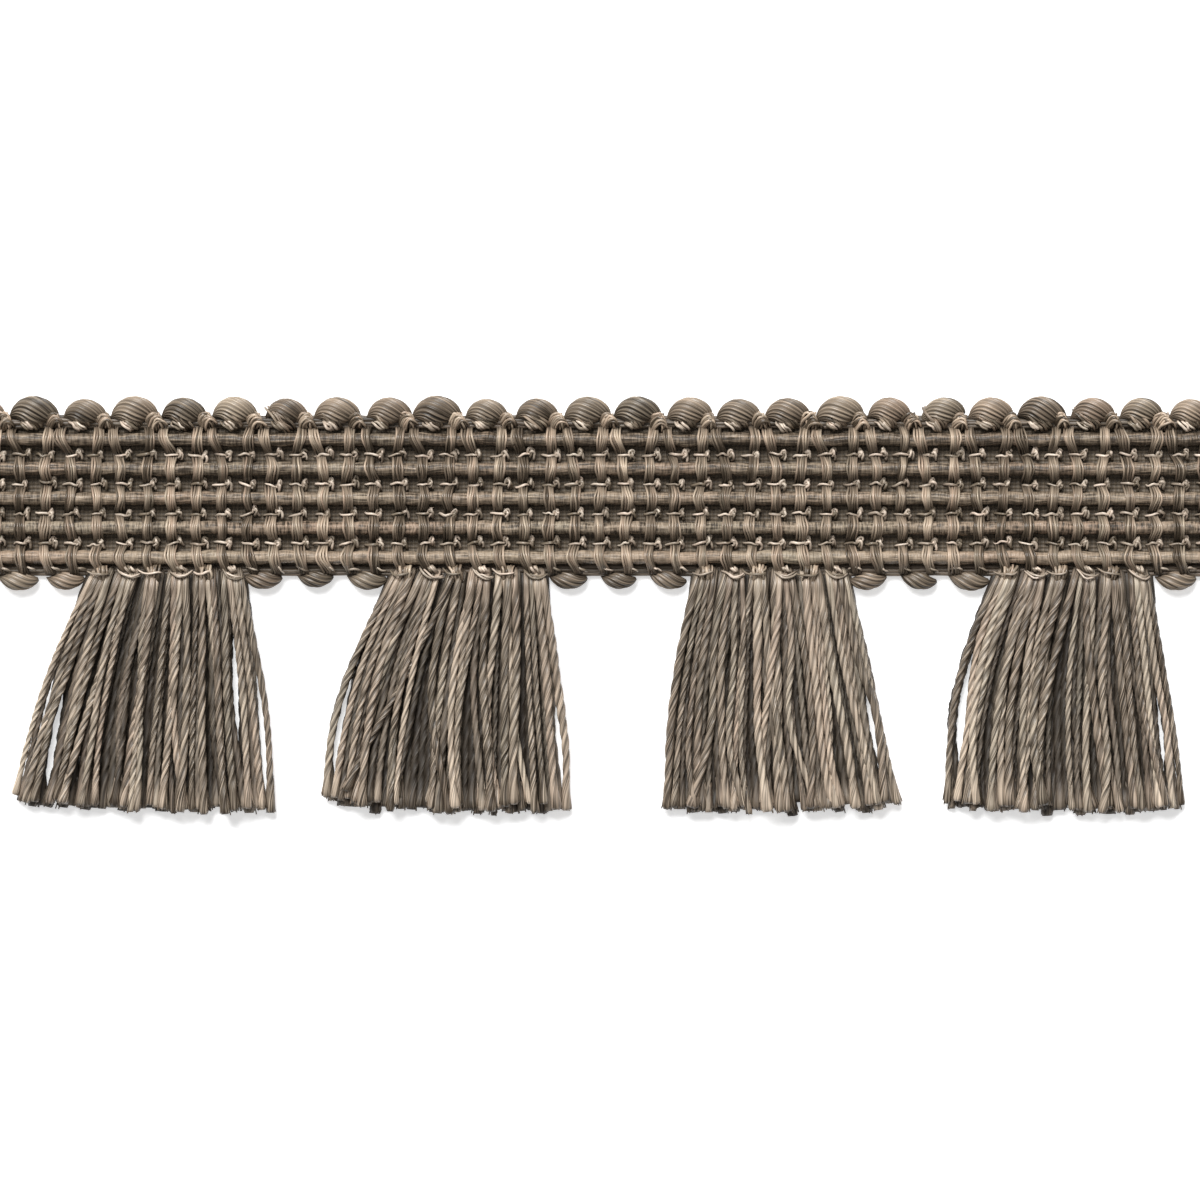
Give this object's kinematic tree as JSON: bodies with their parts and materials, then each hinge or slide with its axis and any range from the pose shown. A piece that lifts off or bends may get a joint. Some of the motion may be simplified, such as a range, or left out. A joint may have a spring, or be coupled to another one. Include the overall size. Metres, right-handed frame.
{
  "type": "bell fringe trim",
  "caption": "Flat-lying cut length of bell fringe trim: woven gimp heading with looped edges and flared skirts of twisted cut yarn.",
  "frame": {"origin": "middle of the heading's flat back, on the surface that the trim lies on", "axes": "+X along the trim, +Y across the heading towards the looped top edge, +Z out of the face"},
  "size_m": [0.1676, 0.0528, 0.0033],
  "materials": {
    "ground_weave": "fine taupe warps and weft, matt",
    "gimp_cord": "wrapped greige cord with a satin sheen",
    "edge_loops": "bundles of fine satin strands",
    "skirt_yarn": "two-ply twisted greige yarn with a satin sheen and frayed cut ends"
  },
  "bodies": {
    "root": {"woven_ground": "ground_weave", "gimp_cord_1": "gimp_cord", "gimp_cord_2": "gimp_cord", "gimp_cord_3": "gimp_cord", "gimp_cord_4": "gimp_cord", "gimp_cord_5": "gimp_cord", "top_loops": "edge_loops", "bottom_loops_1": "edge_loops", "bottom_loops_2": "edge_loops", "bottom_loops_3": "edge_loops", "bottom_loops_4": "edge_loops", "bottom_loops_5": "edge_loops", "bell_skirt_1": "skirt_yarn", "bell_skirt_2": "skirt_yarn", "bell_skirt_3": "skirt_yarn", "bell_skirt_4": "skirt_yarn"}
  },
  "joints": []
}
